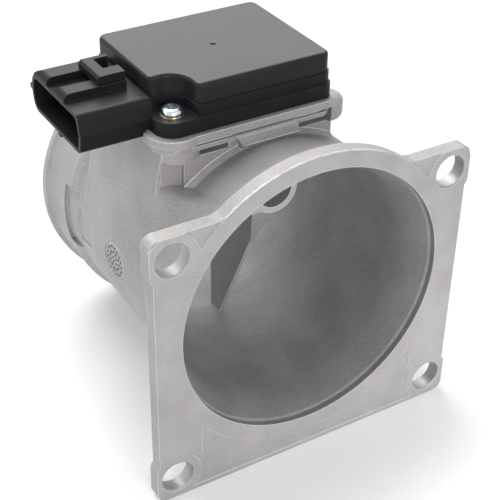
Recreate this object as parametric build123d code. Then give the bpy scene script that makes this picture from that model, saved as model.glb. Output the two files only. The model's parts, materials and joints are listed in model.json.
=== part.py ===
"""Mass airflow sensor with a flange, a bell mouth and a bypass duct, in millimetres.

The origin is the centre of the bore on the flange's front face. Air flows along +Y from the flange
to the hose spigot, +Z points at the sensor module, and the socket's mouth looks along -X.
"""

from build123d import *
from math import sqrt
import os

# Fits
moulded_gap = 0.05
slide_gap = 0.15
face_gap = 0.3

# Flange
flange_thickness = 5.0
flange_half_width = 56.4
flange_top = 41.0
flange_bottom = -59.6
flange_corner_radius = 3.5
flange_crown_radius = 53.0
flange_crown_blend = 6.0
flange_ear_stand = 1.0
top_ear_height = 15.5
bottom_ear_height = 15.6
bolt_half_spacing_x = 50.0
bolt_top = 33.1
bolt_bottom = -51.3
bolt_hole_radius = 5.5
bolt_hole_chamfer = 0.5
bolt_land_radius = 8.6
side_land_inner = 41.0
side_land_bottom = -44.6
side_land_top = 34.6
face_recess_depth = 0.4
face_recess_border = 1.6

# Body and bore
mouth_radius = 47.3
mouth_land_width = 5.6
mouth_lip_depth = 2.2
mouth_step = 0.7
bell_end_radius = 43.2
bell_length = 20.0
throat_radius = 42.0
throat_end = 64.0
throat_rise = 6.0
spigot_bore_radius = 43.6
body_length = 105.0
body_root_radius = 51.4
body_neck_radius = 46.2
body_neck_start = 20.0
body_neck_bow = 1.3
body_front_radius = 45.4
body_front_end = 30.0
body_back_radius = 44.8
body_back_end = 80.2
spigot_radius = 46.6
spigot_start = 84.2
ring_top_radius = 46.9
ring_top_width = 0.5
bead_radius = 48.2
bead_width = 3.0
bead_rise = 1.5
bead_chamfer = 1.0

# Marks in the body's left side
root_pocket_floor = 45.1
root_pocket_back = 89.0
root_pocket_low = -12.0
root_pocket_high = 11.0
scoop_floor = 44.45
scoop_front = 70.0
scoop_low = -7.0
scoop_high = 5.7
scoop_corner_radius = 4.0
date_pad_y = 52.0
date_pad_z = 0.2
date_pad_radius = 7.2
date_pad_floor = 44.55
date_disc_radius = 6.2
date_disc_rise = 0.25

# Bypass duct on its vane
duct_height = 28.0
duct_outer_radius = 8.0
duct_inner_radius = 6.0
duct_front = 25.0
vane_thickness = 1.6
vane_back = 66.0
vane_foot_front = 61.0
vane_head_front = 31.0
vane_head_height = 17.0
fairing_half_width = 6.85
fairing_top = 24.0
fairing_tip = 2.0

# Deck that carries the module
deck_top = 54.3
deck_plate_thickness = 2.5
deck_groove_height = 1.7
deck_groove_inset = 2.4
deck_bar_height = 1.4
deck_bar_inset = 1.3
deck_front = 26.0
deck_back = 79.0
deck_left = -38.6
deck_right = 23.2
deck_corner_radius = 4.0
boss_radius = 8.9
boss_foot_radius = 6.8
boss_foot_x = -29.9
boss_depth = 9.1
knob_x = 22.8
knob_y = 32.6
knob_radius = 5.6
knob_round = 2.5
knob_drop = 1.0
pedestal_front = 29.5
pedestal_back = 76.5
pedestal_left = -30.2
pedestal_right = 23.2
rib_thickness = 3.3
core_inset = 13.0
pedestal_sink = 1.5
tower_radius = 10.6
wall_foot_radius = 46.9
wall_foot_front = 27.4
side_wall_front = 31.5
side_wall_top_x = -35.9
side_wall_foot_x = -39.6
side_wall_foot_z = 20.0
side_wall_thickness = 3.3
lug_front = 25.9
lug_top_left = -14.2
lug_top_right = 7.0
lug_foot_left = -11.4
lug_foot_right = 9.3
lug_foot = 46.7
lug_slope = 2.2
lug_top_gap = 0.9
lug_round = 1.3
slot_low = 45.5
slot_high = 48.4
slot_spans = ((-24.8, -14.8), (10.8, 21.6))

# Module
module_left = -35.9
module_right = 21.9
module_front = 29.2
module_back = 76.3
module_corner_radius = 3.0
module_top = 69.2
module_wall = 1.9
cover_top_thickness = 2.0
cover_edge_radius = 1.3
gate_x = -7.4
gate_y = 51.9
gate_radius = 0.9
gate_depth = 0.3
cover_height = 6.5
wall_stand = 0.5
base_flange_thickness = 4.9
base_margin_left = 1.9
base_margin_front = 1.4
base_margin_right = 0.4
base_margin_back = 1.0
base_floor_thickness = 1.6
seal_groove_width = 0.8
seal_groove_depth = 0.7
gasket_width = 2.2
gasket_depth = 0.8
gasket_inset = 8.5
gasket_left_inset = 12.5
gasket_corner_radius = 4.0

# Module screws
front_screw_x = -31.5
front_screw_y = 34.0
back_screw_x = 26.8
back_screw_y = 69.0
screw_ear_radius = 6.2
notch_radius = 6.3
notch_flare_radius = 2.4
sleeve_radius = 3.7
sleeve_proud = 0.2
screw_head_radius = 3.4
screw_head_height = 2.3
screw_head_round = 1.5
screw_tip_chamfer = 0.6
screw_shank_radius = 2.0
screw_length = 12.0
screw_hole_depth = 8.0
recess_width = 0.9
recess_span = 4.2
recess_depth = 1.3

# Stem
stem_x = 0.0
stem_y = 45.0
stem_radius = 7.0
stem_shoulder = 37.0
nose_radius = 4.8
nose_end = 33.6
ring_groove_height = 46.5
ring_section_radius = 0.85
ring_squeeze_depth = 1.55
ring_groove_half_width = 0.95

# Socket
socket_left = -60.0
socket_depth = 17.5
socket_front = 36.4
socket_back = 72.4
socket_top = 64.0
socket_bottom = 51.6
socket_parting = 58.0
socket_draft = 1.1
socket_step = 0.4
socket_wall = 1.15
socket_shoulder_round = 2.2
socket_back_shoulder_round = 4.0
socket_bottom_round = 1.6
socket_back_bottom_round = 4.0
rail_height = 2.5
front_rail_front = 47.4
front_rail_flat_end = 52.0
channel_floor_front = 57.0
back_rail_front = 60.2
back_rail_flat_end = 64.5
back_rail_round = 7.0
rail_end_round = 2.4
rail_end_sink = 0.05
nub_y = 72.7
nub_z = 58.8
nub_radius = 1.0
nub_length = 2.2
stub_y = 52.6
stub_width = 1.8
stub_drop = 1.0
stub_length = 2.0
bridge_left = -48.5
bridge_front = 48.2
bridge_leg_back = 53.0
bridge_chamfer = 0.8
bridge_bar_width = 4.1
bridge_right = -39.5
bridge_back = 61.9
bridge_thickness = 2.9
terminal_count = 6
terminal_pitch = 4.3
terminal_width = 2.0
terminal_thickness = 0.8
terminal_reach = 12.0
terminal_inner_end = -20.5
terminal_tip_chamfer = 0.28

# Circuit
plate_left = -23.0
plate_right = 17.0
plate_front = 34.5
plate_back = 71.0
plate_thickness = 1.2
substrate_inset = 1.5
substrate_thickness = 0.7
pin_radius = 0.4
pin_half_span = 2.6
pin_row_offset = 1.7
pin_end = 26.6
short_pin_end = 28.6
bead_pin_half_span = 0.9
bead_pin_offset = 3.6
bead_pin_end = 30.2
air_bead_radius = 1.4
air_bead_rise = 0.4
element_radius = 0.55
element_rise = 1.0
pin_proud = 0.5
pin_clearance = 0.5
plate_corner_radius = 2.0
chip_chamfer_share = 0.15
control_chip_place = (-4.0, 58.0)
control_chip_size = (9.0, 9.0, 1.6)
transistor_place = (9.0, 62.0)
transistor_size = (6.5, 8.0, 2.2)
capacitor_count = 4
capacitor_place = (-14.0, 47.0)
capacitor_step = 5.0
capacitor_size = (3.2, 1.8, 1.4)
resistor_count = 3
resistor_place = (10.0, 41.0)
resistor_step = 4.0
resistor_size = (3.0, 1.6, 0.6)

base_flange_top = deck_top + base_flange_thickness
cover_bottom = module_top - cover_height
floor_top = deck_top + base_floor_thickness
board_top = floor_top + plate_thickness + substrate_thickness
mouth_land_radius = mouth_radius + mouth_land_width


def along_y(sketch, start, end):
    """Extrudes a sketch of X and Z between two places on the Y axis."""
    return Pos(0, start, 0) * extrude(Plane.XZ * sketch, amount=end - start, dir=(0, 1, 0))


def between_x(sketch, start, end):
    """Extrudes a sketch of Y and Z between two places on the X axis."""
    return Pos(start, 0, 0) * extrude(Plane.YZ * sketch, amount=end - start, dir=(1, 0, 0))


def between_z(sketch, start, end):
    """Extrudes a sketch of X and Y between two heights."""
    return Pos(0, 0, start) * extrude(sketch, amount=end - start, dir=(0, 0, 1))


def block(x0, x1, y0, y1, z0, z1):
    """A plain block between two corners."""
    return Pos((x0 + x1) / 2, (y0 + y1) / 2, (z0 + z1) / 2) * Box(x1 - x0, y1 - y0, z1 - z0)


def rectangle(x0, x1, y0, y1, radius=0.0):
    """A rectangle between two corners, with round corners where a radius is given."""
    place = Pos((x0 + x1) / 2, (y0 + y1) / 2)
    if radius > 0:
        return place * RectangleRounded(x1 - x0, y1 - y0, radius)
    return place * Rectangle(x1 - x0, y1 - y0)


def rod_z(x, y, radius, start, end):
    """A round rod that stands between two heights."""
    return Pos(x, y, (start + end) / 2) * Cylinder(radius, end - start)


def bolt_places():
    """The four bolt holes as X and Z."""
    return [(x, z) for x in (-bolt_half_spacing_x, bolt_half_spacing_x) for z in (bolt_bottom, bolt_top)]


def flange_outline():
    """The flange seen from the front: a square with ears, and a crown round the bore."""
    ear = flange_half_width + flange_ear_stand
    inner = flange_corner_radius / 2
    outline = rectangle(-flange_half_width, flange_half_width, flange_bottom + inner, flange_top - inner)
    outline += rectangle(-ear, ear, flange_top - top_ear_height, flange_top, flange_corner_radius)
    outline += rectangle(-ear, ear, flange_bottom, flange_bottom + bottom_ear_height, flange_corner_radius)
    outline += Circle(flange_crown_radius)
    corner_x = sqrt(flange_crown_radius**2 - flange_top**2)
    level = outline.vertices().filter_by(lambda v: abs(v.Y - flange_top) < 0.01)
    corners = level.filter_by(lambda v: abs(abs(v.X) - corner_x) < 0.01)
    return fillet(corners, flange_crown_blend)


def flange_plate():
    """The flange with its chamfered bolt holes and the shallow recesses of its front face."""
    plate = along_y(flange_outline(), 0, flange_thickness)
    land = Circle(mouth_land_radius)
    for x, z in bolt_places():
        land += Pos(x, z) * Circle(bolt_land_radius)
    edge = flange_half_width + 2 * flange_ear_stand
    land += rectangle(-edge, -side_land_inner, side_land_bottom, side_land_top)
    land += rectangle(side_land_inner, edge, side_land_bottom, side_land_top)
    upper = flange_outline() & rectangle(-edge, edge, side_land_top - 1, flange_crown_radius + 1)
    sunk = offset(flange_outline(), amount=-face_recess_border) + upper - land
    plate -= along_y(sunk, 0, face_recess_depth)
    for x, z in bolt_places():
        plate -= along_y(Pos(x, z) * Circle(bolt_hole_radius), 0, flange_thickness)
        sink = Cone(bolt_hole_radius, bolt_hole_radius + bolt_hole_chamfer, bolt_hole_chamfer)
        plate -= Pos(x, bolt_hole_chamfer / 2, z) * Rot(X=90) * sink
    return plate


def turned(face):
    """Revolves a face of radius and length about the bore's axis."""
    return revolve(face, axis=Axis.Y)


def body_outer(start=0.0):
    """The solid form that the outside of the body and spigot follows."""
    bead_start = body_length - bead_width
    neck_middle = (flange_thickness + body_neck_start) / 2
    neck = Line((body_root_radius, start), (body_root_radius, flange_thickness))
    bell = ThreePointArc(
        (body_root_radius, flange_thickness),
        (body_neck_radius + body_neck_bow, neck_middle),
        (body_neck_radius, body_neck_start),
    )
    rest = Polyline(
        (body_neck_radius, body_neck_start),
        (body_front_radius, body_front_end),
        (body_back_radius, body_back_end),
        (ring_top_radius, spigot_start),
        (ring_top_radius, spigot_start + ring_top_width),
        (spigot_radius, spigot_start + ring_top_width),
        (spigot_radius, bead_start - bead_rise),
        (bead_radius, bead_start),
        (bead_radius, body_length - bead_chamfer),
        (bead_radius - bead_chamfer, body_length),
        (0, body_length),
        (0, start),
        (body_root_radius, start),
    )
    return turned(make_face([neck, bell, rest]))


def bore():
    """The air passage: a short lip, the bell, the throat and the wider spigot."""
    start = (mouth_radius - mouth_step, mouth_lip_depth + mouth_step)
    end = (bell_end_radius, bell_length)
    back_along_throat = (bell_end_radius - throat_radius, bell_length - throat_end)
    lip = Polyline((0, 0), (mouth_radius, 0), (mouth_radius, mouth_lip_depth), start)
    bell = TangentArc(start, end, tangent=back_along_throat, tangent_from_first=False)
    rest = Polyline(
        end,
        (throat_radius, throat_end),
        (spigot_bore_radius, throat_end + throat_rise),
        (spigot_bore_radius, body_length),
        (0, body_length),
        (0, 0),
    )
    return turned(make_face([lip, bell, rest]))


def duct_and_vane():
    """The vane across the bore with the bypass duct on its head and the tower that takes the stem."""
    outline = Polygon(
        (vane_head_front, vane_head_height),
        (vane_foot_front, -body_back_radius),
        (vane_back, -body_back_radius),
        (vane_back, body_back_radius),
        (vane_head_front, body_back_radius),
        align=None,
    )
    half = vane_thickness / 2
    vane = between_x(outline, -half, half)
    fairing = Polygon(
        (-half, fairing_tip),
        (half, fairing_tip),
        (fairing_half_width, fairing_top),
        (-fairing_half_width, fairing_top),
        align=None,
    )
    room = between_x(outline, -fairing_half_width, fairing_half_width)
    vane += along_y(fairing, 0, body_length) & room
    duct = along_y(Pos(0, duct_height) * Circle(duct_outer_radius), duct_front, vane_back)
    tower = rod_z(stem_x, stem_y, tower_radius, duct_height, deck_top - deck_plate_thickness)
    return (vane + duct) & body_outer(), tower


def marks():
    """What the side pull leaves in the body's left side: the root pocket, its scoop and the date pad."""
    deep = -2 * spigot_radius
    pocket = block(deep, 0, body_back_end, root_pocket_back, root_pocket_low, root_pocket_high)
    pocket -= along_y(Circle(root_pocket_floor), 0, body_length)
    scoop = rectangle(scoop_front, root_pocket_back, scoop_low, scoop_high, scoop_corner_radius)
    scoop = between_x(scoop, deep, 0) & block(deep, 0, scoop_front, body_back_end, scoop_low, scoop_high)
    scoop -= along_y(Circle(scoop_floor), 0, body_length)
    pad = between_x(Pos(date_pad_y, date_pad_z) * Circle(date_pad_radius), deep, -date_pad_floor)
    disc = Pos(date_pad_y, date_pad_z) * Circle(date_disc_radius)
    return pocket + scoop + pad - between_x(disc, -date_pad_floor - date_disc_rise, -date_pad_floor)


def boss_places():
    """The deck's round corner bosses: two carry the module screws."""
    return [
        (front_screw_x, front_screw_y),
        (back_screw_x, back_screw_y),
        (front_screw_x, back_screw_y),
    ]


def deck_outline(inset, radius):
    """The deck plate seen from above, with a round boss at three corners."""
    across = (deck_left + inset, deck_right - inset)
    outline = rectangle(*across, deck_front + inset, deck_back - inset, deck_corner_radius)
    for x, y in boss_places():
        outline += Pos(x, y) * Circle(radius)
    beside_socket = rectangle(deck_left - boss_radius, deck_left + inset, socket_front - face_gap, deck_back)
    return outline - beside_socket


def rib_outline():
    """The ribs under the deck seen from above, front and back, with the core that joins them."""
    outline = rectangle(pedestal_left, pedestal_right, pedestal_front, pedestal_front + rib_thickness)
    outline += rectangle(side_wall_top_x, pedestal_right, pedestal_back - rib_thickness, pedestal_back)
    core = (pedestal_left + core_inset, pedestal_right - core_inset)
    return outline + rectangle(*core, pedestal_front, pedestal_back)


def lug():
    """The bar that stands out under the middle of the deck, with a round top edge and an undercut foot."""
    top = deck_top - deck_plate_thickness - lug_top_gap
    back = pedestal_front + rib_thickness
    front_view = Polygon(
        (lug_top_left, top),
        (lug_top_right, top),
        (lug_foot_right, lug_foot),
        (lug_foot_right, lug_foot - lug_slope),
        (lug_foot_left, lug_foot - lug_slope),
        (lug_foot_left, lug_foot),
        align=None,
    )
    side_view = Polygon(
        (lug_front, lug_foot),
        (lug_front, top),
        (back, top),
        (back, lug_foot - lug_slope),
        (lug_front + lug_slope, lug_foot - lug_slope),
        align=None,
    )
    side_view = fillet(side_view.vertices().sort_by(Axis.Y)[-2:].sort_by(Axis.X)[0], lug_round)
    return along_y(front_view, lug_front, back) & between_x(side_view, lug_top_left, lug_foot_right)


def pedestal():
    """The ribs, groove, bar, side wall and boss feet between the round body and the deck plate."""
    plate_bottom = deck_top - deck_plate_thickness
    groove_bottom = plate_bottom - deck_groove_height
    well = rectangle(
        pedestal_left + rib_thickness,
        pedestal_right - rib_thickness,
        pedestal_front + rib_thickness,
        pedestal_back - rib_thickness,
    )
    part = between_z(deck_outline(deck_groove_inset, boss_foot_radius) - well, groove_bottom, plate_bottom)
    bar = deck_outline(deck_bar_inset, boss_foot_radius) - well
    part += between_z(bar, groove_bottom - deck_bar_height, groove_bottom)
    part += between_z(rib_outline(), 0, plate_bottom)
    wall_inner = side_wall_top_x + side_wall_thickness
    wall = Polygon(
        (side_wall_top_x, plate_bottom),
        (wall_inner, plate_bottom),
        (wall_inner, side_wall_foot_z),
        (side_wall_foot_x, side_wall_foot_z),
        align=None,
    )
    part += along_y(wall, side_wall_front, pedestal_back)
    front_end = Polygon(
        (side_wall_top_x, plate_bottom),
        (pedestal_left + rib_thickness, plate_bottom),
        (pedestal_left + rib_thickness, side_wall_foot_z),
        (side_wall_foot_x, side_wall_foot_z),
        align=None,
    )
    part += along_y(front_end, side_wall_front, side_wall_front + rib_thickness)
    feet = Sketch() + [Pos(x, y) * Circle(boss_foot_radius) for x, y in boss_places()[1:]]
    feet += Pos(boss_foot_x, front_screw_y) * Circle(boss_foot_radius)
    part += between_z(feet, deck_top - boss_depth, plate_bottom)
    part += lug() + wall_foot() + knob()
    back = pedestal_front + rib_thickness
    for left, right in slot_spans:
        part -= block(left, right, deck_front, back, slot_low, slot_high)
    return part - along_y(Circle(throat_radius + pedestal_sink), 0, body_length)


def knob():
    """The round-ended knob at the deck's front right corner."""
    rod = rod_z(knob_x, knob_y, knob_radius, deck_top - boss_depth, deck_top - knob_drop)
    rod = fillet(rod.edges().filter_by(GeomType.CIRCLE), knob_round)
    return rod & block(slot_spans[-1][1], knob_x + knob_radius, deck_front, pedestal_back, 0, deck_top)


def wall_foot():
    """The fillet at the foot of the front rib, on the round body."""
    section = Polygon(
        (body_back_radius - 1, wall_foot_front),
        (body_front_radius, wall_foot_front),
        (wall_foot_radius, pedestal_front),
        (wall_foot_radius, pedestal_front + rib_thickness),
        (body_back_radius - 1, pedestal_front + rib_thickness),
        align=None,
    )
    room = block(pedestal_left, pedestal_right, 0, body_length, 0, deck_top)
    return turned(section) & room


def screw_places():
    """The two module screws."""
    return [(front_screw_x, front_screw_y), (back_screw_x, back_screw_y)]


def stem_hole():
    """The stepped hole that takes the stem down into the bypass duct."""
    hole = rod_z(stem_x, stem_y, stem_radius + slide_gap, stem_shoulder - face_gap, deck_top)
    return hole + rod_z(stem_x, stem_y, nose_radius + slide_gap, duct_height, stem_shoulder)


def housing():
    """The casting: flange, body, bore, vane, bypass duct and deck in one piece."""
    inner, tower = duct_and_vane()
    deck = between_z(deck_outline(0, boss_radius), deck_top - deck_plate_thickness, deck_top)
    part = body_outer() + flange_plate() + pedestal() + deck
    part -= bore() + marks()
    part += inner + tower
    part -= along_y(Pos(0, duct_height) * Circle(duct_inner_radius), duct_front, vane_back)
    part -= stem_hole()
    for x, y in screw_places():
        part -= rod_z(x, y, screw_shank_radius + moulded_gap, deck_top - screw_hole_depth, deck_top)
    return part


def module_outline(stand=0.0):
    """The module seen from above, grown by a stand."""
    return rectangle(
        module_left - stand,
        module_right + stand,
        module_front - stand,
        module_back + stand,
        module_corner_radius + stand,
    )


def notch(radius):
    """The corner cut that leaves room round the front screw."""
    left = front_screw_x - 2 * radius
    front = front_screw_y - 2 * radius
    cut = Pos(front_screw_x, front_screw_y) * Circle(radius)
    cut += rectangle(left, front_screw_x, front, front_screw_y + radius)
    return cut + rectangle(left, front_screw_x + radius, front, front_screw_y)


def notched(outline, radius):
    """An outline with the corner cut, whose two ends flare out round."""
    cut = outline - notch(radius)
    ends = cut.vertices().sort_by_distance((front_screw_x - radius, front_screw_y + radius))[:1]
    ends += cut.vertices().sort_by_distance((front_screw_x + radius, front_screw_y - radius))[:1]
    return fillet(ends, notch_flare_radius)


def base_flange_outline():
    """The foot of the module: a rectangle whose front left corner is the screw's ear."""
    outline = rectangle(
        module_left - base_margin_left,
        module_right + base_margin_right,
        module_front - base_margin_front,
        module_back + base_margin_back,
    )
    corners = outline.vertices().sort_by(Axis.X)
    left = corners[:2].sort_by(Axis.Y)
    outline = fillet(left[0], screw_ear_radius)
    outline = fillet(outline.vertices().sort_by(Axis.X)[-2:], module_corner_radius)
    ear = Circle(screw_ear_radius) + rectangle(-2 * screw_ear_radius, 0, -screw_ear_radius, screw_ear_radius)
    return outline + Pos(back_screw_x, back_screw_y) * ear


def socket_sides(wall=0.0):
    """The socket's drafted corners as Y and Z, seen from its mouth: bottom, front side and back side."""
    bottom = socket_bottom + wall
    top = socket_top - wall
    front = [
        (socket_front + socket_draft + wall, bottom),
        (socket_front + wall, socket_parting),
        (socket_front + socket_step + wall, socket_parting),
        (socket_front + socket_step + socket_draft + wall, top),
    ]
    back = [
        (socket_back - socket_draft - wall, top),
        (socket_back - wall, socket_parting),
        (socket_back - socket_draft - wall, bottom),
    ]
    return front, back


def socket_section(wall=0.0):
    """The socket without its rails, seen from its mouth."""
    front, back = socket_sides(wall)
    outline = Polygon(*front, *back, align=None)
    rounds = [
        (front[0], socket_bottom_round),
        (front[-1], socket_shoulder_round),
        (back[0], socket_back_shoulder_round - wall),
        (back[-1], socket_back_bottom_round - wall),
    ]
    for corner, radius in rounds:
        outline = fillet(outline.vertices().sort_by_distance(corner)[:1], radius)
    return outline


def rail_section():
    """The key rails and the channel between them: flat tops, an S-curve down and a wide round back."""
    root = socket_top - socket_wall / 2
    top = socket_top + rail_height
    middle = ((front_rail_flat_end + channel_floor_front) / 2, socket_top + rail_height / 2)
    back_end = back_rail_flat_end + back_rail_round
    back_low = top - back_rail_round
    half_turn = back_rail_round * sqrt(0.5)
    lines = Polyline((front_rail_front, root), (front_rail_front, top), (front_rail_flat_end, top))
    down = TangentArc((front_rail_flat_end, top), middle, tangent=(1, 0))
    floor_start = (channel_floor_front, socket_top)
    out = TangentArc(middle, floor_start, tangent=(-1, 0), tangent_from_first=False)
    step = Polyline(
        floor_start,
        (back_rail_front, socket_top),
        (back_rail_front, top),
        (back_rail_flat_end, top),
    )
    side = ThreePointArc(
        (back_rail_flat_end, top),
        (back_rail_flat_end + half_turn, back_low + half_turn),
        (back_end, back_low),
    )
    close = Polyline(
        (back_end, back_low),
        (channel_floor_front, back_low),
        (channel_floor_front, root),
        (front_rail_front, root),
    )
    return make_face([lines, down, out, step, side, close])


def socket_body():
    """The socket's shell with its key rails."""
    end = module_left - wall_stand
    rail_top = socket_top + rail_height
    body = between_x(socket_section(), socket_left, end)
    body += between_x(rail_section(), socket_left, bridge_right)
    round_x = socket_left + rail_end_round
    round_z = rail_top - rail_end_round + rail_end_sink
    rounding = block(socket_left - 1, round_x, socket_front, socket_back, round_z, rail_top + 1)
    rod = Pos(round_x, (socket_front + socket_back) / 2, round_z) * Rot(X=90)
    body -= rounding - rod * Cylinder(rail_end_round, 2 * (socket_back - socket_front))
    nub = Pos(socket_left + nub_length / 2, nub_y, nub_z) * Rot(Y=90) * Cylinder(nub_radius, nub_length)
    stub_left = stub_y - stub_width / 2
    stub_low = socket_bottom - stub_drop
    stub = block(
        socket_left,
        socket_left + stub_length,
        stub_left,
        stub_left + stub_width,
        stub_low,
        socket_bottom + socket_wall / 2,
    )
    body += nub + stub
    body -= between_x(socket_section(socket_wall), socket_left, socket_left + socket_depth)
    deck_room = offset(deck_outline(0, boss_radius), amount=face_gap)
    return body - between_z(deck_room, deck_top - boss_depth, deck_top)


def latch_bridge():
    """The bridge on the key rails that the plug's latch hooks under."""
    bar_right = bridge_left + bridge_bar_width
    bar_bottom = module_top - bridge_thickness
    rail_top = socket_top + rail_height
    bar = block(bridge_left, bar_right, bridge_front, bridge_back, bar_bottom, module_top)
    bar = chamfer(bar.edges().filter_by(Axis.Y).group_by(Axis.Z)[-1].sort_by(Axis.X)[0], bridge_chamfer)
    for front, back in ((bridge_front, bridge_leg_back), (back_rail_front, bridge_back)):
        bar += block(bar_right - 1, bridge_right, front, back, rail_top - socket_wall, module_top)
    return bar - between_x(rail_section(), socket_left, bridge_right)


def terminal_places():
    """The middle of each terminal along Y."""
    middle = (socket_front + socket_back) / 2
    first = middle - terminal_pitch * (terminal_count - 1) / 2
    return [first + terminal_pitch * number for number in range(terminal_count)]


def terminal(y):
    """One blade: it lies on the board and stands out in the socket."""
    left = socket_left + socket_depth - terminal_reach
    half = terminal_width / 2
    blade = block(left, terminal_inner_end, y - half, y + half, board_top, board_top + terminal_thickness)
    tip = blade.edges().filter_by(Axis.Y).group_by(Axis.X)[0]
    return chamfer(tip, terminal_tip_chamfer)


def pin_places():
    """Each sensing pin as X, Y and the height of its lower end."""
    pins = [(sign * pin_half_span, -pin_row_offset, pin_end) for sign in (-1, 1)]
    pins += [(sign * pin_half_span, pin_row_offset, short_pin_end) for sign in (-1, 1)]
    pins += [(sign * bead_pin_half_span, bead_pin_offset, bead_pin_end) for sign in (-1, 1)]
    return [(stem_x + x, stem_y + y, z) for x, y, z in pins]


def pins():
    """The six pins that carry the sensing elements."""
    return Compound(children=[rod_z(x, y, pin_radius, z, board_top + pin_proud) for x, y, z in pin_places()])


def pin_window():
    """The window that the pins pass through, seen from above."""
    room = pin_radius + pin_clearance
    half = pin_half_span + room
    return rectangle(
        stem_x - half,
        stem_x + half,
        stem_y - pin_row_offset - room,
        stem_y + bead_pin_offset + room,
        room,
    )


def stem():
    """The stem with the groove of its seal and the nose over the bypass duct."""
    ring_root = stem_radius - ring_squeeze_depth
    part = rod_z(stem_x, stem_y, stem_radius, stem_shoulder, floor_top)
    part += rod_z(stem_x, stem_y, nose_radius, nose_end, stem_shoulder)
    low = ring_groove_height - ring_groove_half_width
    high = ring_groove_height + ring_groove_half_width
    groove = rod_z(stem_x, stem_y, stem_radius, low, high) - rod_z(stem_x, stem_y, ring_root, low, high)
    return part - groove


def gasket_ring(grow=0.0):
    """The gasket's loop round the stem, seen from above."""
    outer = rectangle(
        module_left + gasket_left_inset - grow,
        module_right - gasket_inset + grow,
        module_front + gasket_inset - grow,
        module_back - gasket_inset + grow,
        gasket_corner_radius + grow,
    )
    inset = gasket_width + 2 * grow
    return outer - offset(outer, amount=-inset)


def seal_ring(low_inset, high_inset):
    """A loop that follows the module's wall between two insets."""
    wall = notched(module_outline(), notch_radius)
    return offset(wall, amount=-low_inset) - offset(wall, amount=-high_inset)


def module_base():
    """The black moulding: foot, wall, screw ears, stem and socket."""
    wall_outline = notched(module_outline(wall_stand), notch_radius - wall_stand)
    part = between_z(base_flange_outline(), deck_top, base_flange_top)
    part += between_z(wall_outline, deck_top, cover_bottom)
    part += socket_body() + stem()
    part -= between_z(room_outline(), floor_top, cover_bottom)
    inset = (module_wall - seal_groove_width) / 2
    groove = seal_ring(inset, inset + seal_groove_width)
    part -= between_z(groove, cover_bottom - seal_groove_depth, cover_bottom)
    part -= between_z(gasket_ring(moulded_gap), deck_top, deck_top + gasket_depth)
    for x, y in screw_places():
        part -= rod_z(x, y, sleeve_radius + moulded_gap, deck_top, base_flange_top)
    for y in terminal_places():
        part -= terminal_room(y)
    for x, y, z in pin_places():
        part -= rod_z(x, y, pin_radius + moulded_gap, nose_end, floor_top)
    return part


def room_outline():
    """The room for the circuit, seen from above."""
    return offset(notched(module_outline(), notch_radius), amount=-module_wall)


def terminal_room(y):
    """The slot in the wall that holds one terminal."""
    half = terminal_width / 2 + moulded_gap
    low = board_top - moulded_gap
    high = board_top + terminal_thickness + moulded_gap
    left = socket_left + socket_depth - socket_wall
    return block(left, module_left + 2 * module_wall, y - half, y + half, low, high)


def module_cover():
    """The lid: a shallow shell with round edges, cut round the front screw."""
    shell = between_z(notched(module_outline(), notch_radius), cover_bottom, module_top)
    shell = fillet(shell.faces().sort_by(Axis.Z)[-1].outer_wire().edges(), cover_edge_radius)
    room = between_z(room_outline(), cover_bottom, module_top - cover_top_thickness)
    lip = between_z(seal_tongue(), cover_bottom - seal_groove_depth / 2, cover_bottom)
    gate = rod_z(gate_x, gate_y, gate_radius, module_top - gate_depth, module_top)
    return shell - room - gate + lip


def seal_tongue():
    """The loop that fits the groove on the base's rim."""
    half = seal_groove_width / 2 - moulded_gap
    return seal_ring(module_wall / 2 - half, module_wall / 2 + half)


def cover_seal():
    """The bead of sealant under the lid's lip."""
    return between_z(seal_tongue(), cover_bottom - seal_groove_depth, cover_bottom - seal_groove_depth / 2)


def stem_seal():
    """The O-ring in the stem's groove."""
    middle = stem_radius - ring_squeeze_depth + ring_section_radius
    return Pos(stem_x, stem_y, ring_groove_height) * Torus(middle, ring_section_radius)


def module_screw(x, y):
    """One pan head screw on its sleeve."""
    seat = base_flange_top + sleeve_proud
    head = rod_z(x, y, screw_head_radius, seat, seat + screw_head_height)
    head = fillet(head.edges().group_by(Axis.Z)[-1], screw_head_round)
    shank = rod_z(x, y, screw_shank_radius, seat - screw_length, seat)
    shank = chamfer(shank.edges().group_by(Axis.Z)[0], screw_tip_chamfer)
    screw = head + shank
    top = seat + screw_head_height
    for turn in (0, 90):
        slot = Rot(Z=turn) * Box(recess_span, recess_width, recess_depth)
        screw -= Pos(x, y, top - recess_depth / 2) * slot
    return screw


def screw_sleeve(x, y):
    """One compression sleeve between the deck and the screw head."""
    tube = rod_z(x, y, sleeve_radius, deck_top, base_flange_top + sleeve_proud)
    return tube - rod_z(x, y, screw_shank_radius + slide_gap, deck_top, base_flange_top + sleeve_proud)


def heat_plate():
    """The aluminium plate on the floor of the room."""
    outline = rectangle(plate_left, plate_right, plate_front, plate_back, plate_corner_radius)
    return between_z(outline - pin_window(), floor_top, floor_top + plate_thickness)


def circuit_substrate():
    """The ceramic board on the plate."""
    inset = substrate_inset
    outline = rectangle(plate_left + inset, plate_right - inset, plate_front + inset, plate_back - inset)
    return between_z(outline - pin_window(), board_top - substrate_thickness, board_top)


def chip(place, size):
    """A component with chamfered top edges that lies on the board."""
    width, length, height = size
    body = Pos(*place, board_top + height / 2) * Box(width, length, height)
    return chamfer(body.faces().sort_by(Axis.Z)[-1].outer_wire().edges(), height * chip_chamfer_share)


def component_row(count, place, step, size):
    """Like components in a row along Y."""
    x, y = place
    return Compound(children=[chip((x, y + step * number), size) for number in range(count)])


def element(row_offset, height):
    """A sensing element between one pair of pins."""
    rod = Pos(stem_x, stem_y + row_offset, height) * Rot(Y=90) * Cylinder(element_radius, 2 * pin_half_span)
    return rod - pins()


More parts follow.
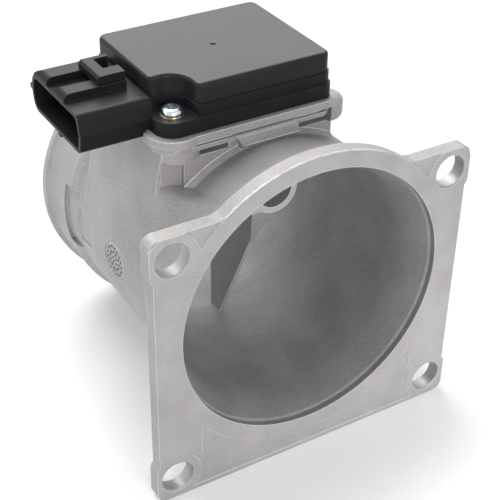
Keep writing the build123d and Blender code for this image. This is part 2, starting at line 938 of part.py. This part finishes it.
def temperature_bead():
    """The air temperature bead round the ends of its two pins."""
    place = Pos(stem_x, stem_y + bead_pin_offset, bead_pin_end + air_bead_rise)
    return place * Sphere(air_bead_radius) - pins()


parts = {
    "housing": housing(),
    "module_base": module_base(),
    "latch_bridge": latch_bridge(),
    "module_cover": module_cover(),
    "cover_seal": cover_seal(),
    "module_gasket": between_z(gasket_ring(), deck_top, deck_top + gasket_depth),
    "stem_seal": stem_seal(),
    "module_screws": Compound(children=[module_screw(x, y) for x, y in screw_places()]),
    "screw_sleeves": Compound(children=[screw_sleeve(x, y) for x, y in screw_places()]),
    "heat_plate": heat_plate(),
    "circuit_substrate": circuit_substrate(),
    "control_chip": chip(control_chip_place, control_chip_size),
    "power_transistor": chip(transistor_place, transistor_size),
    "capacitors": component_row(capacitor_count, capacitor_place, capacitor_step, capacitor_size),
    "resistors": component_row(resistor_count, resistor_place, resistor_step, resistor_size),
    "sensor_pins": pins(),
    "hot_wire_element": element(-pin_row_offset, pin_end + element_rise),
    "compensation_element": element(pin_row_offset, short_pin_end + element_rise),
    "air_temperature_bead": temperature_bead(),
}
for number, place in enumerate(terminal_places(), start=1):
    parts[f"terminal_{number}"] = terminal(place)

os.makedirs("parts", exist_ok=True)
for name, shape in parts.items():
    export_step(shape, f"parts/{name}.step")
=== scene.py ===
"""Looks of the mass airflow sensor: finishes, small cast and moulded details, light and camera."""

import json
from math import acos, atan2, cos, hypot, pi, radians, sin
from random import Random

import bmesh
import bpy
from mathutils import Euler, Matrix, Vector

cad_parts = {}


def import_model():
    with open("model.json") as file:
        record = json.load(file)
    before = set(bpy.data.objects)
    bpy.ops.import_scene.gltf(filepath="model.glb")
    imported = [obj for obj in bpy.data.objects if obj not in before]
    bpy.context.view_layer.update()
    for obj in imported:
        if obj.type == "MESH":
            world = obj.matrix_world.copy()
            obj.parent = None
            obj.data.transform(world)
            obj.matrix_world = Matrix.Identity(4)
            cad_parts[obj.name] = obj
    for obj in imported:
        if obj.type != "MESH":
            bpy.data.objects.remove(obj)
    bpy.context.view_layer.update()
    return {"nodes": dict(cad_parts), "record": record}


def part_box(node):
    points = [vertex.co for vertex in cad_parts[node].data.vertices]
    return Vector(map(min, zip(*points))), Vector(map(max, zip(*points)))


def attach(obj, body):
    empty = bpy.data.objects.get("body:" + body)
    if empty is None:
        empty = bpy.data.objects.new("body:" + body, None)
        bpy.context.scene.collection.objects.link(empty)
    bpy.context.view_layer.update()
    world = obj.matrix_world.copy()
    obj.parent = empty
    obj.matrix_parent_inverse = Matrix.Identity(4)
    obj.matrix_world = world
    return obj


MM = 0.001

# Camera, from the bolt holes, the bore and the edges in the photograph
camera_place = Vector((-175.995, -247.060, 224.870)) * MM
camera_elevation = 34.159
camera_heading = -31.521
camera_roll = 0.960
camera_lens = 86.04
camera_clip = (0.01, 50.0)

# Floor: the flange's lower edge and the hose bead's underside rest on it
bead_radius = 48.2 * MM
floor_drop = 0.2 * MM
floor_clear_radius = 0.18
floor_fade_radius = 0.45
floor_share = 0.3
floor_radius = 6.0
floor_corners = 96
floor_roughness = 0.9
floor_gloss = 0.1

# Light: an even one from all round, and each lamp's name, place, target, size and power
world_light = 0.25
part_middle = (0.0, 0.03, 0.0)
lamps = (
    ("overhead", (-0.10, 0.55, 1.0), part_middle, (0.8, 0.8), 12.5),
    ("rear_box", (0.75, 1.10, 0.95), part_middle, (1.2, 0.9), 6.0),
    ("left_box", (-1.10, 0.35, 0.45), part_middle, (0.8, 0.8), 2.6),
    ("front_box", (-0.15, -1.15, 0.45), part_middle, (0.6, 0.6), 8.5),
    ("low_box", (0.04, -0.08, -0.048), (0.015, 0.0, -0.05), (0.07, 0.015), 0.022),
)

# Grain: detail of its two noises, and the range of its tone over which roughness changes
fine_detail = 2.0
coarse_detail = 4.0
tone_span = (0.3, 0.7)

# Clouds: the range of tone that goes from the dimmed colour to the full one
casting_clouds = (0.36, 0.66)
moulding_clouds = (0.35, 0.68)
plain_clouds = (0.35, 0.65)
casting_dimming = 0.68
moulding_lift = 1.7
metal_dimming = 0.75
plain_dimming = 0.7

# Roughness at the two ends of the tone's range, beside a finish's own
casting_offsets = (0.06, -0.06)
moulding_offsets = (-0.05, 0.07)
metal_offsets = (0.08, -0.04)
plain_offsets = (0.06, -0.06)

# Edges, lightened as wear and as painted highlight
edge_round = 0.35 * MM
edge_samples = 6
edge_start = 0.012

# Casting's share of metal, more of it and less roughness in the bolt holes
casting_metal = 0.3
hole_metal = 0.15
hole_polish = 0.12

# Faces that look up, by the height of their normal
up_start = 0.80
up_full = 0.98

# Air passage, where the casting's colour is painted darker as shade and it has no share of metal
bore_radius = 46.9 * MM
bore_blend = 0.6 * MM
bore_start = 0.8 * MM
bore_ramp = 1.0 * MM
inward_start = -0.04
inward_full = -0.12

# Lip at the mouth, all of it painted as dark as the bore's painted shade
lip_radius = 47.6 * MM
lip_start = 0.3 * MM
lip_end = 5.0 * MM
lip_blend = 0.1 * MM
lip_ramp = 0.3 * MM

# Bolt holes, machined bright
bolt_x = 50.0 * MM
bolt_heights = (33.1 * MM, -51.3 * MM)
bolt_reach = 5.6 * MM
bolt_blend = 0.1 * MM

# Side wall's skin: a flat face from the deck's edge, tangent to the round body
skin_body_radius = 44.82 * MM
skin_top = Vector((-35.95, 51.6)) * MM
skin_front = 31.6 * MM
skin_back = 76.4 * MM
skin_depth = 1.5 * MM
skin_past_touch = 3.0
skin_columns = 52
sharp_angle = 20.0
sharp_rims = 3

# Web between the side wall's front end and the flare of the inlet
web_front = 10.0 * MM
web_flare = ((5.0, 51.4), (12.0, 48.0), (20.0, 46.2), (30.0, 45.4), (40.0, 45.0))
web_top = (118.0, 127.5)
web_width = (30.0, 11.0)
web_sink = 0.9 * MM
web_rows = 30
web_end_step = 0.02 * MM

# Date pad: rings of small raised dots on the disc, by radius, count and size; the dots are coloured dark
# as painted shade
pad_place = Vector((-44.8, 52.0, 0.2)) * MM
pad_rings = ((5.1, 17, 0.42), (3.2, 11, 0.45), (1.3, 4, 0.40))
pad_flatness = 0.8

# Flash: thin irregular ridges left at the mould's parting, with the edge colour that is lightened as wear
# and as painted highlight
flash_blob = 0.30 * MM
flash_thin = 0.10 * MM
flash_wander = 0.07 * MM
flash_first_size = 0.5
flash_carry = 0.6
flash_sizes = (0.25, 0.35, 0.45, 0.6, 1.0)
flash_seeds = (3, 4, 5, 8)
crown_radius = 53.0 * MM
crown_y = 0.25 * MM
crown_span = (128.0, 62.0)
crown_steps = 110
rib_foot_radius = 46.9 * MM
rib_foot_y = 29.45 * MM
rib_foot_spans = ((131.0, 104.0), (75.0, 61.0))
lug_flash = (Vector((-11.0, 25.9, 46.75)) * MM, Vector((9.0, 25.9, 46.75)) * MM)
short_steps = 36

# Colours
casting_grey = (0.455, 0.441, 0.433, 1.0)
# Edges lightened as wear and as painted highlight; the flash has this colour too
casting_edge_wear_and_highlight = (0.90, 0.90, 0.89, 1.0)
machined_grey = (0.38, 0.38, 0.375, 1.0)
# Painted shade: the date pad's dots are dark as the shade round raised marks
dot_painted_shade = (0.20, 0.195, 0.19, 1.0)
# Painted shade in the air passage, at the two ends of its clouds
bore_painted_shade = (0.335, 0.325, 0.315, 1.0)
bore_painted_shade_dim = (0.20, 0.195, 0.19, 1.0)
moulding_black = (0.009, 0.009, 0.011, 1.0)
lid_black = (0.014, 0.014, 0.016, 1.0)
# The moulding's edges, lightened as painted highlight and wear
moulding_edge_wear_and_highlight = (0.05, 0.05, 0.055, 1.0)
zinc_blue = (0.66, 0.74, 0.80, 1.0)
brass_gold = (0.66, 0.43, 0.12, 1.0)
tin_white = (0.74, 0.73, 0.70, 1.0)
alumina_white = (0.78, 0.78, 0.74, 1.0)
silicone_grey = (0.10, 0.10, 0.11, 1.0)
rubber_black = (0.02, 0.02, 0.02, 1.0)
package_black = (0.025, 0.025, 0.028, 1.0)
capacitor_tan = (0.36, 0.22, 0.11, 1.0)
resistor_dark = (0.03, 0.035, 0.05, 1.0)
glass_cream = (0.72, 0.70, 0.60, 1.0)
bead_amber = (0.30, 0.15, 0.05, 1.0)
floor_grey = (0.93, 0.93, 0.93, 1.0)
pure_white = (1.0, 1.0, 1.0, 1.0)


def toned(colour, share):
    """A colour made darker or lighter by a share of itself."""
    return tuple(min(1.0, share * c) for c in colour[:3]) + (1.0,)


def smooth(share):
    """A soft start and a soft end between nought and one."""
    share = min(1.0, max(0.0, share))
    return share * share * (3.0 - 2.0 * share)


def between(start, end, share):
    """A number part of the way from one to another."""
    return start + (end - start) * share


class Network:
    """A node tree whose nodes are made and joined in one call each."""

    def __init__(self, tree):
        self.nodes = tree.nodes
        self.links = tree.links

    def give(self, entry, value):
        """Sets an input to a number or a colour, or links it to an output."""
        if isinstance(value, (float, tuple)):
            entry.default_value = value
        else:
            self.links.new(value, entry)

    def wire(self, node, *values):
        """Gives a node's inputs their values, in their order."""
        for entry, value in zip(node.inputs, values):
            self.give(entry, value)

    def place(self):
        """A point's place in the part's frame."""
        return self.nodes.new("ShaderNodeTexCoord").outputs["Object"]

    def true_normal(self):
        """A face's own normal."""
        return self.nodes.new("ShaderNodeNewGeometry").outputs["True Normal"]

    def seen_ray(self):
        """One for rays of the camera, of reflections and through glass, and nought for light."""
        path = self.nodes.new("ShaderNodeLightPath")
        seen = self.math("MAXIMUM", path.outputs["Is Camera Ray"], path.outputs["Is Glossy Ray"])
        return self.math("MAXIMUM", seen, path.outputs["Is Transmission Ray"])

    def math(self, operation, *values):
        """A sum, product or the like of sockets and numbers."""
        node = self.nodes.new("ShaderNodeMath")
        node.operation = operation
        self.wire(node, *values)
        return node.outputs[0]

    def vector(self, operation, *values):
        """What an operation on vectors gives: a number for a length or the like, or else a vector."""
        node = self.nodes.new("ShaderNodeVectorMath")
        node.operation = operation
        self.wire(node, *values)
        return node.outputs["Value" if operation in ("DOT_PRODUCT", "LENGTH", "DISTANCE") else "Vector"]

    def split(self, vector):
        """A vector's X, Y and Z."""
        node = self.nodes.new("ShaderNodeSeparateXYZ")
        self.wire(node, vector)
        return node.outputs

    def noise(self, place, scale, detail):
        """Soft noise of one size."""
        node = self.nodes.new("ShaderNodeTexNoise")
        for name, value in (("Vector", place), ("Scale", scale), ("Detail", detail)):
            self.give(node.inputs[name], value)
        return node.outputs["Fac"]

    def spread(self, value, low, high, out_low=0.0, out_high=1.0, kind="LINEAR"):
        """A value's range stretched to another, and held at its ends."""
        node = self.nodes.new("ShaderNodeMapRange")
        node.interpolation_type = kind
        ends = (("From Min", low), ("From Max", high), ("To Min", out_low), ("To Max", out_high))
        for name, number in (("Value", value), *ends):
            self.give(node.inputs[name], number)
        return node.outputs["Result"]

    def mix(self, factor, first, second):
        """One colour or another."""
        node = self.nodes.new("ShaderNodeMix")
        node.data_type = "RGBA"
        self.give(node.inputs["Factor"], factor)
        for value, name in ((first, "A"), (second, "B")):
            self.give([i for i in node.inputs if i.name == name and i.type == "RGBA"][0], value)
        return [o for o in node.outputs if o.type == "RGBA"][0]

    def group(self, tree, **values):
        """The outputs of a node group, with its inputs set by name."""
        node = self.nodes.new("ShaderNodeGroup")
        node.node_tree = tree
        for name, value in values.items():
            self.give(node.inputs[name.replace("_", " ")], value)
        return node.outputs


def new_group(name, inputs, outputs):
    """A node group, its network, and the sockets that its nodes take from and give to."""
    tree = bpy.data.node_groups.new(name, "ShaderNodeTree")
    for entry, value in inputs.items():
        made = tree.interface.new_socket(name=entry, in_out="INPUT", socket_type="NodeSocketFloat")
        made.default_value = value
    for entry, kind in outputs.items():
        tree.interface.new_socket(name=entry, in_out="OUTPUT", socket_type=kind)
    network = Network(tree)
    given = network.nodes.new("NodeGroupInput").outputs
    wanted = network.nodes.new("NodeGroupOutput").inputs
    return tree, network, given, wanted


def grain_group():
    """Grain of a blasted or textured surface: a tone and a height from two sizes of noise."""
    inputs = {"Fine scale": 2600.0, "Coarse scale": 160.0, "Coarse share": 0.4}
    outputs = {"Tone": "NodeSocketFloat", "Height": "NodeSocketFloat"}
    tree, network, given, wanted = new_group("fine_grain", inputs, outputs)
    place = network.place()
    fine = network.noise(place, given["Fine scale"], fine_detail)
    coarse = network.noise(place, given["Coarse scale"], coarse_detail)
    blend = network.nodes.new("ShaderNodeMix")
    for name, value in (("Factor", given["Coarse share"]), ("A", fine), ("B", coarse)):
        network.give(blend.inputs[name], value)
    network.give(wanted["Tone"], blend.outputs["Result"])
    network.give(wanted["Height"], fine)
    return tree


def edge_group():
    """Edges: a mask along sharp edges, where colour is lightened as wear and as painted highlight, and
    the normal of an edge that wear has rounded.
    """
    outputs = {"Mask": "NodeSocketFloat", "Normal": "NodeSocketVector"}
    tree, network, given, wanted = new_group("edge_wear_and_highlight_group", {"Full at": 0.25}, outputs)
    rounded = network.nodes.new("ShaderNodeBevel")
    rounded.samples = edge_samples
    network.give(rounded.inputs["Radius"], edge_round)
    normal = rounded.outputs["Normal"]
    facing = network.vector("DOT_PRODUCT", network.true_normal(), normal)
    turn = network.math("SUBTRACT", 1.0, facing)
    network.give(wanted["Mask"], network.spread(turn, edge_start, given["Full at"]))
    network.give(wanted["Normal"], normal)
    return tree


class Finish(Network):
    """A material with one Principled shader, and the masks that its looks are made from."""

    def __init__(self, name):
        self.material = bpy.data.materials.new(name)
        self.material.use_nodes = True
        super().__init__(self.material.node_tree)
        self.shader = self.nodes["Principled BSDF"]

    def set_inputs(self, **values):
        """Gives the shader's inputs their values, by name."""
        for name, value in values.items():
            self.give(self.shader.inputs[name.replace("_", " ")], value)

    def bump(self, height, strength, distance, over=None):
        """A fine relief, over the normal of worn edges where there is one."""
        node = self.nodes.new("ShaderNodeBump")
        if over is not None:
            self.give(node.inputs["Normal"], over)
        for name, value in (("Strength", strength), ("Distance", distance), ("Height", height)):
            self.give(node.inputs[name], value)
        self.set_inputs(Normal=node.outputs["Normal"])

    def uneven(self, tone, roughness, offsets):
        """A roughness that changes with the grain's tone."""
        return self.spread(tone["Tone"], *tone_span, roughness + offsets[0], roughness + offsets[1])

    def cloud(self, tone, colour, dimming, roughness, offsets):
        """A colour and a roughness that change with the grain's tone."""
        clouds = self.spread(tone["Tone"], *plain_clouds)
        self.set_inputs(
            Base_Color=self.mix(clouds, toned(colour, dimming), colour),
            Roughness=self.uneven(tone, roughness, offsets),
        )

    def shaded_bore_mask(self):
        """Where the air passage's painted shade goes: one in the passage, behind its mouth, and on its
        lip, and nought elsewhere.
        """
        place = self.place()
        along = self.split(place)["Y"]
        across = self.vector("MULTIPLY", place, (1.0, 0.0, 1.0))
        reach = self.vector("LENGTH", across)
        facing = self.vector("DOT_PRODUCT", self.vector("NORMALIZE", across), self.true_normal())
        near_axis = self.spread(reach, bore_radius, bore_radius - bore_blend)
        behind_mouth = self.spread(along, bore_start, bore_start + bore_ramp)
        inward = self.spread(facing, inward_start, inward_full)
        bore = self.math("MULTIPLY", self.math("MULTIPLY", near_axis, behind_mouth), inward)
        lip_near = self.spread(reach, lip_radius, lip_radius - lip_blend)
        lip_from = self.spread(along, lip_start, lip_start + lip_ramp)
        lip_to = self.spread(along, lip_end, lip_end + lip_ramp, 1.0, 0.0)
        lip = self.math("MULTIPLY", self.math("MULTIPLY", lip_near, lip_from), lip_to)
        return self.math("MAXIMUM", bore, lip)

    def hole_mask(self):
        """One on the walls of the four bolt holes, and nought elsewhere."""
        place = self.split(self.place())
        folded = self.nodes.new("ShaderNodeCombineXYZ")
        self.give(folded.inputs["X"], self.math("ABSOLUTE", place["X"]))
        self.give(folded.inputs["Z"], place["Z"])
        spot = folded.outputs[0]
        reaches = [self.vector("DISTANCE", spot, (bolt_x, 0.0, height)) for height in bolt_heights]
        return self.spread(self.math("MINIMUM", *reaches), bolt_reach + bolt_blend, bolt_reach)

    def top_mask(self):
        """One on faces that look up, and nought on the others."""
        return self.spread(self.split(self.true_normal())["Z"], up_start, up_full)


def casting_finish(grain, edge, name, colour, roughness):
    """Blasted cast aluminium: fine sparkle, soft clouds, edges that handling has polished and that are
    lightened as painted highlight, and the air passage painted darker as shade.
    """
    finish = Finish(name)
    tone = finish.group(grain, Fine_scale=2400.0, Coarse_scale=70.0, Coarse_share=0.35)
    sharp_edges = finish.group(edge, Full_at=0.17)
    in_shaded_bore = finish.shaded_bore_mask()
    in_hole = finish.hole_mask()
    clouds = finish.spread(tone["Tone"], *casting_clouds)
    outside = finish.mix(clouds, toned(colour, casting_dimming), colour)
    # Inside the air passage the colour is painted darker as shade
    inside = finish.mix(clouds, bore_painted_shade_dim, bore_painted_shade)
    body = finish.mix(in_shaded_bore, outside, inside)
    # Edges are lightened as wear and as painted highlight, but not in the air passage's painted shade
    highlit_worn_edge = finish.math("MULTIPLY", sharp_edges["Mask"], finish.spread(in_shaded_bore, 0.0, 1.0, 1.0, 0.0))
    body = finish.mix(highlit_worn_edge, body, casting_edge_wear_and_highlight)
    metal = finish.spread(in_shaded_bore, 0.0, 1.0, casting_metal, 0.0)
    rough = finish.uneven(tone, roughness, casting_offsets)
    finish.set_inputs(
        Base_Color=finish.mix(in_hole, body, machined_grey),
        Metallic=finish.math("MULTIPLY_ADD", in_hole, hole_metal, metal),
        Roughness=finish.math("MULTIPLY_ADD", in_hole, -hole_polish, rough),
    )
    finish.bump(tone["Height"], strength=0.4, distance=0.10 * MM, over=sharp_edges["Normal"])
    return finish.material


def moulding_finish(grain, edge, name, colour, roughness, top_gloss):
    """Black moulded plastic with a fine spark texture, and softly rounded edges lightened as painted
    highlight and wear.
    """
    finish = Finish(name)
    tone = finish.group(grain, Fine_scale=3200.0, Coarse_scale=120.0, Coarse_share=0.5)
    sharp_edges = finish.group(edge, Full_at=0.35)
    clouds = finish.spread(tone["Tone"], *moulding_clouds)
    body = finish.mix(clouds, colour, toned(colour, moulding_lift))
    finish.set_inputs(
        Specular_IOR_Level=0.14,
        Coat_Roughness=0.34,
        Coat_IOR=1.8,
        Coat_Weight=finish.spread(finish.top_mask(), 0.0, 1.0, 0.0, top_gloss),
        # Edges lightened as painted highlight and wear
        Base_Color=finish.mix(sharp_edges["Mask"], body, moulding_edge_wear_and_highlight),
        Roughness=finish.uneven(tone, roughness, moulding_offsets),
    )
    finish.bump(tone["Height"], strength=0.18, distance=0.05 * MM, over=sharp_edges["Normal"])
    return finish.material


def metal_finish(grain, name, colour, roughness):
    """Plated or rolled metal with faint clouds in its gloss."""
    finish = Finish(name)
    tone = finish.group(grain, Fine_scale=3000.0, Coarse_scale=600.0, Coarse_share=0.6)
    finish.set_inputs(Metallic=1.0)
    finish.cloud(tone, colour, metal_dimming, roughness, metal_offsets)
    finish.bump(tone["Height"], strength=0.08, distance=0.02 * MM)
    return finish.material


def plain_finish(grain, name, colour, roughness):
    """A matt non-metal with a cloudy tone."""
    finish = Finish(name)
    tone = finish.group(grain, Fine_scale=2500.0, Coarse_scale=400.0, Coarse_share=0.5)
    finish.cloud(tone, colour, plain_dimming, roughness, plain_offsets)
    finish.bump(tone["Height"], strength=0.12, distance=0.03 * MM)
    return finish.material


def all_finishes():
    """Every slot's finish, with its roughness last, or a moulding's sheen on top after it."""
    grain = grain_group()
    edge = edge_group()
    return {
        "cast_aluminium": casting_finish(grain, edge, "cast_aluminium_finish", casting_grey, 0.60),
        # Flash in the edge colour, lightened as wear and as painted highlight
        "flash": casting_finish(grain, edge, "flash_finish", casting_edge_wear_and_highlight, 0.45),
        "pad_dots": plain_finish(grain, "pad_dots_finish", dot_painted_shade, 0.7),
        "base_moulding": moulding_finish(grain, edge, "base_moulding_finish", moulding_black, 0.42, 0.15),
        "cover_moulding": moulding_finish(grain, edge, "cover_moulding_finish", lid_black, 0.40, 0.35),
        "sealant": plain_finish(grain, "sealant_finish", silicone_grey, 0.5),
        "gasket_rubber": plain_finish(grain, "gasket_rubber_finish", rubber_black, 0.6),
        "zinc_steel": metal_finish(grain, "zinc_steel_finish", zinc_blue, 0.22),
        "sleeve_brass": metal_finish(grain, "sleeve_brass_finish", brass_gold, 0.3),
        "plate_aluminium": metal_finish(grain, "plate_aluminium_finish", tin_white, 0.4),
        "board_ceramic": plain_finish(grain, "board_ceramic_finish", alumina_white, 0.5),
        "chip_package": plain_finish(grain, "chip_package_finish", package_black, 0.45),
        "capacitor_body": plain_finish(grain, "capacitor_body_finish", capacitor_tan, 0.4),
        "resistor_body": plain_finish(grain, "resistor_body_finish", resistor_dark, 0.4),
        "pin_metal": metal_finish(grain, "pin_metal_finish", tin_white, 0.25),
        "element_glass": plain_finish(grain, "element_glass_finish", glass_cream, 0.25),
        "bead_glass": plain_finish(grain, "bead_glass_finish", bead_amber, 0.2),
        "terminal_tin": metal_finish(grain, "terminal_tin_finish", tin_white, 0.3),
    }


def dress(frame, finishes):
    """Gives each CAD node the finish of its slot."""
    for row in frame["record"]["subparts"]:
        mesh = frame["nodes"][row["node"]].data
        mesh.materials.clear()
        mesh.materials.append(finishes[row["material_slot"]])


def add_piece(name, data, material):
    """Adds a piece of the casting from a mesh or a curve."""
    data.materials.append(material)
    piece = bpy.data.objects.new(name, data)
    bpy.context.scene.collection.objects.link(piece)
    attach(piece, "root")


def add_mesh(name, bm, material):
    """Adds a piece of the casting from mesh code."""
    bmesh.ops.recalc_face_normals(bm, faces=bm.faces)
    mesh = bpy.data.meshes.new(name)
    bm.to_mesh(mesh)
    bm.free()
    add_piece(name, mesh, material)


def flare_radius(y):
    """The body's outer radius at a place along the air passage."""
    for (near, low), (far, high) in zip(web_flare, web_flare[1:]):
        if y <= far * MM:
            return between(low, high, max(0.0, (y / MM - near) / (far - near))) * MM
    return web_flare[-1][1] * MM


def close_grid(bm, outer, inner):
    """Faces on both sides of a grid of points and around its border."""
    columns = len(outer[0]) - 1
    for rim, other in zip(outer, outer[1:]):
        for column in range(columns):
            bm.faces.new((rim[column], rim[column + 1], other[column + 1], other[column]))
    for rim, other in zip(inner, inner[1:]):
        for column in range(columns):
            bm.faces.new((rim[column], other[column], other[column + 1], rim[column + 1]))
    for over, under in ((outer[0], inner[0]), (outer[-1], inner[-1])):
        for column in range(columns):
            bm.faces.new((over[column], over[column + 1], under[column + 1], under[column]))
    for column in (0, columns):
        for row in range(len(outer) - 1):
            over, over_next = outer[row][column], outer[row + 1][column]
            under, under_next = inner[row][column], inner[row + 1][column]
            bm.faces.new((over, over_next, under_next, under))


def wall_rows(deck_edge):
    """Each row of the side wall: its place, how far it has risen, its top and its shoulder's width."""
    rows = []
    for number in range(web_rows + 1):
        along = number / web_rows
        top = radians(between(*web_top, along))
        width = radians(between(*web_width, along))
        rows.append((between(web_front, skin_front, along), smooth(along), top, width))
    for y in (skin_front + web_end_step, skin_back):
        rows.append((y, 1.0, deck_edge, 0.0))
    return rows


def side_wall(material):
    """The casting's left wall: flat from the deck's edge to a tangent on the round body.

    In front of the deck it is carried down to the flare of the inlet.
    """
    deck_edge = atan2(skin_top.y, skin_top.x)
    touch = deck_edge + acos(skin_body_radius / hypot(skin_top.x, skin_top.y))
    last = touch + radians(skin_past_touch)
    bm = bmesh.new()
    outer, inner = [], []
    for y, rise, top, width in wall_rows(deck_edge):
        body = flare_radius(y)
        outer_row, inner_row = [], []
        for column in range(skin_columns + 1):
            angle = top + (last - top) * column / skin_columns
            flat = skin_body_radius / cos(angle - touch) if angle < touch else skin_body_radius
            hold = rise * (smooth((angle - top) / width) if width else 1.0)
            radius = body - web_sink + hold * (flat - body + web_sink)
            for rim, reach in ((outer_row, radius), (inner_row, body - skin_depth)):
                rim.append(bm.verts.new((cos(angle) * reach, y, sin(angle) * reach)))
        outer.append(outer_row)
        inner.append(inner_row)
    close_grid(bm, outer, inner)
    for face in bm.faces:
        face.smooth = True
    for edge in bm.edges:
        edge.smooth = edge.calc_face_angle(0.0) < radians(sharp_angle)
    for rim in outer[-sharp_rims:]:
        for one, other in zip(rim, rim[1:]):
            bm.edges.get((one, other)).smooth = False
    add_mesh("side_wall", bm, material)


def date_pad_dots(material):
    """Rings of small raised dots on the disc of the date pad, coloured dark as painted shade."""
    bm = bmesh.new()
    for radius, count, size in pad_rings:
        for number in range(count):
            angle = 2 * pi * (number + 0.5) / count
            place = pad_place + Vector((0.0, cos(angle), sin(angle))) * radius * MM
            shape = Matrix.Translation(place) @ Matrix.Diagonal((pad_flatness, 1.0, 1.0, 1.0))
            bmesh.ops.create_icosphere(bm, subdivisions=2, radius=size * MM, matrix=shape)
    add_mesh("date_pad_dots", bm, material)


def arc_points(radius, y, span, steps):
    """Points on an arc round the air passage's axis."""
    points = []
    for number in range(steps + 1):
        angle = radians(between(*span, number / steps))
        points.append(Vector((cos(angle) * radius, y, sin(angle) * radius)))
    return points


def flash_ridge(name, points, material, seed):
    """A thin ridge of uneven height along a row of points."""
    noise = Random(seed)
    curve = bpy.data.curves.new(name, "CURVE")
    curve.dimensions = "3D"
    curve.bevel_depth = flash_blob
    curve.bevel_resolution = 1
    line = curve.splines.new("POLY")
    line.points.add(len(points) - 1)
    size = flash_first_size
    for spot, place in zip(line.points, points):
        shift = Vector([noise.uniform(-1.0, 1.0) for axis in range(3)]) * flash_wander
        size = between(noise.choice(flash_sizes), size, flash_carry)
        spot.co = (*(place + shift), 1.0)
        spot.radius = max(size, flash_thin / flash_blob)
    add_piece(name, curve, material)


def add_flash(material):
    """Flash along the crown's front edge, along the front rib's foot and under the lug."""
    ridges = {"crown_flash": arc_points(crown_radius, crown_y, crown_span, crown_steps)}
    for number, span in enumerate(rib_foot_spans, start=1):
        ridges[f"rib_foot_flash_{number}"] = arc_points(rib_foot_radius, rib_foot_y, span, short_steps)
    first, last = lug_flash
    ridges["lug_flash"] = [first.lerp(last, number / short_steps) for number in range(short_steps + 1)]
    for seed, (name, points) in zip(flash_seeds, ridges.items()):
        flash_ridge(name, points, material, seed)


def add_camera():
    """The camera of the photograph."""
    data = bpy.data.cameras.new("camera")
    data.lens = camera_lens
    data.clip_start, data.clip_end = camera_clip
    camera = bpy.data.objects.new("camera", data)
    bpy.context.scene.collection.objects.link(camera)
    heading = Matrix.Rotation(radians(camera_heading), 4, "Z")
    turn = heading @ Matrix.Rotation(radians(90 - camera_elevation), 4, "X")
    roll = Matrix.Rotation(radians(camera_roll), 4, "Z")
    camera.matrix_world = Matrix.Translation(camera_place) @ turn @ roll
    bpy.context.scene.camera = camera


def floor_material():
    """A pale floor that keeps the shadow near the part and turns white further out."""
    finish = Finish("floor_finish")
    finish.set_inputs(Roughness=floor_roughness, Base_Color=floor_grey, Specular_IOR_Level=floor_gloss)
    glow = finish.nodes.new("ShaderNodeEmission")
    finish.give(glow.inputs["Color"], pure_white)
    reach = finish.vector("LENGTH", finish.place())
    fade = finish.spread(reach, floor_clear_radius, floor_fade_radius, floor_share, kind="SMOOTHERSTEP")
    share = finish.math("MULTIPLY", fade, finish.seen_ray())
    mix = finish.nodes.new("ShaderNodeMixShader")
    finish.wire(mix, share, finish.shader.outputs["BSDF"], glow.outputs["Emission"])
    finish.give(finish.nodes["Material Output"].inputs["Surface"], mix.outputs["Shader"])
    return finish.material


def add_floor():
    """A round floor, tilted as the part rests on it."""
    low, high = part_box("housing")
    slope = (-bead_radius - low.z) / high.y
    bpy.ops.object.select_all(action="DESELECT")
    bpy.ops.mesh.primitive_circle_add(vertices=floor_corners, radius=floor_radius, fill_type="NGON")
    floor = bpy.context.object
    floor.name = "floor"
    floor.rotation_euler = Euler((slope, 0, 0))
    floor.location = (0, 0, low.z - floor_drop)
    floor.data.materials.append(floor_material())


def add_world():
    """White to the eye and in reflections, and an even grey as light."""
    world = bpy.data.worlds.new("studio")
    bpy.context.scene.world = world
    world.use_nodes = True
    network = Network(world.node_tree)
    back = network.nodes["Background"]
    network.give(back.inputs["Color"], pure_white)
    network.give(back.inputs["Strength"], network.spread(network.seen_ray(), 0.0, 1.0, world_light, 1.0))


def add_softbox(name, place, target, size, power):
    """One rectangular area lamp that looks at a target and isn't seen by the camera."""
    data = bpy.data.lights.new(name, "AREA")
    data.shape = "RECTANGLE"
    data.size, data.size_y = size
    data.energy = power
    lamp = bpy.data.objects.new(name, data)
    bpy.context.scene.collection.objects.link(lamp)
    place, target = Vector(place), Vector(target)
    lamp.location = place
    lamp.rotation_euler = (target - place).to_track_quat("-Z", "Y").to_euler()
    lamp.visible_camera = False


def main():
    """Dresses the frame and adds the casting's small pieces, the camera, the light and the floor."""
    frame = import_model()
    finishes = all_finishes()
    dress(frame, finishes)
    side_wall(finishes["cast_aluminium"])
    date_pad_dots(finishes["pad_dots"])
    add_flash(finishes["flash"])
    add_camera()
    add_world()
    for lamp in lamps:
        add_softbox(*lamp)
    add_floor()
    bpy.context.scene.view_settings.view_transform = "Standard"


main()
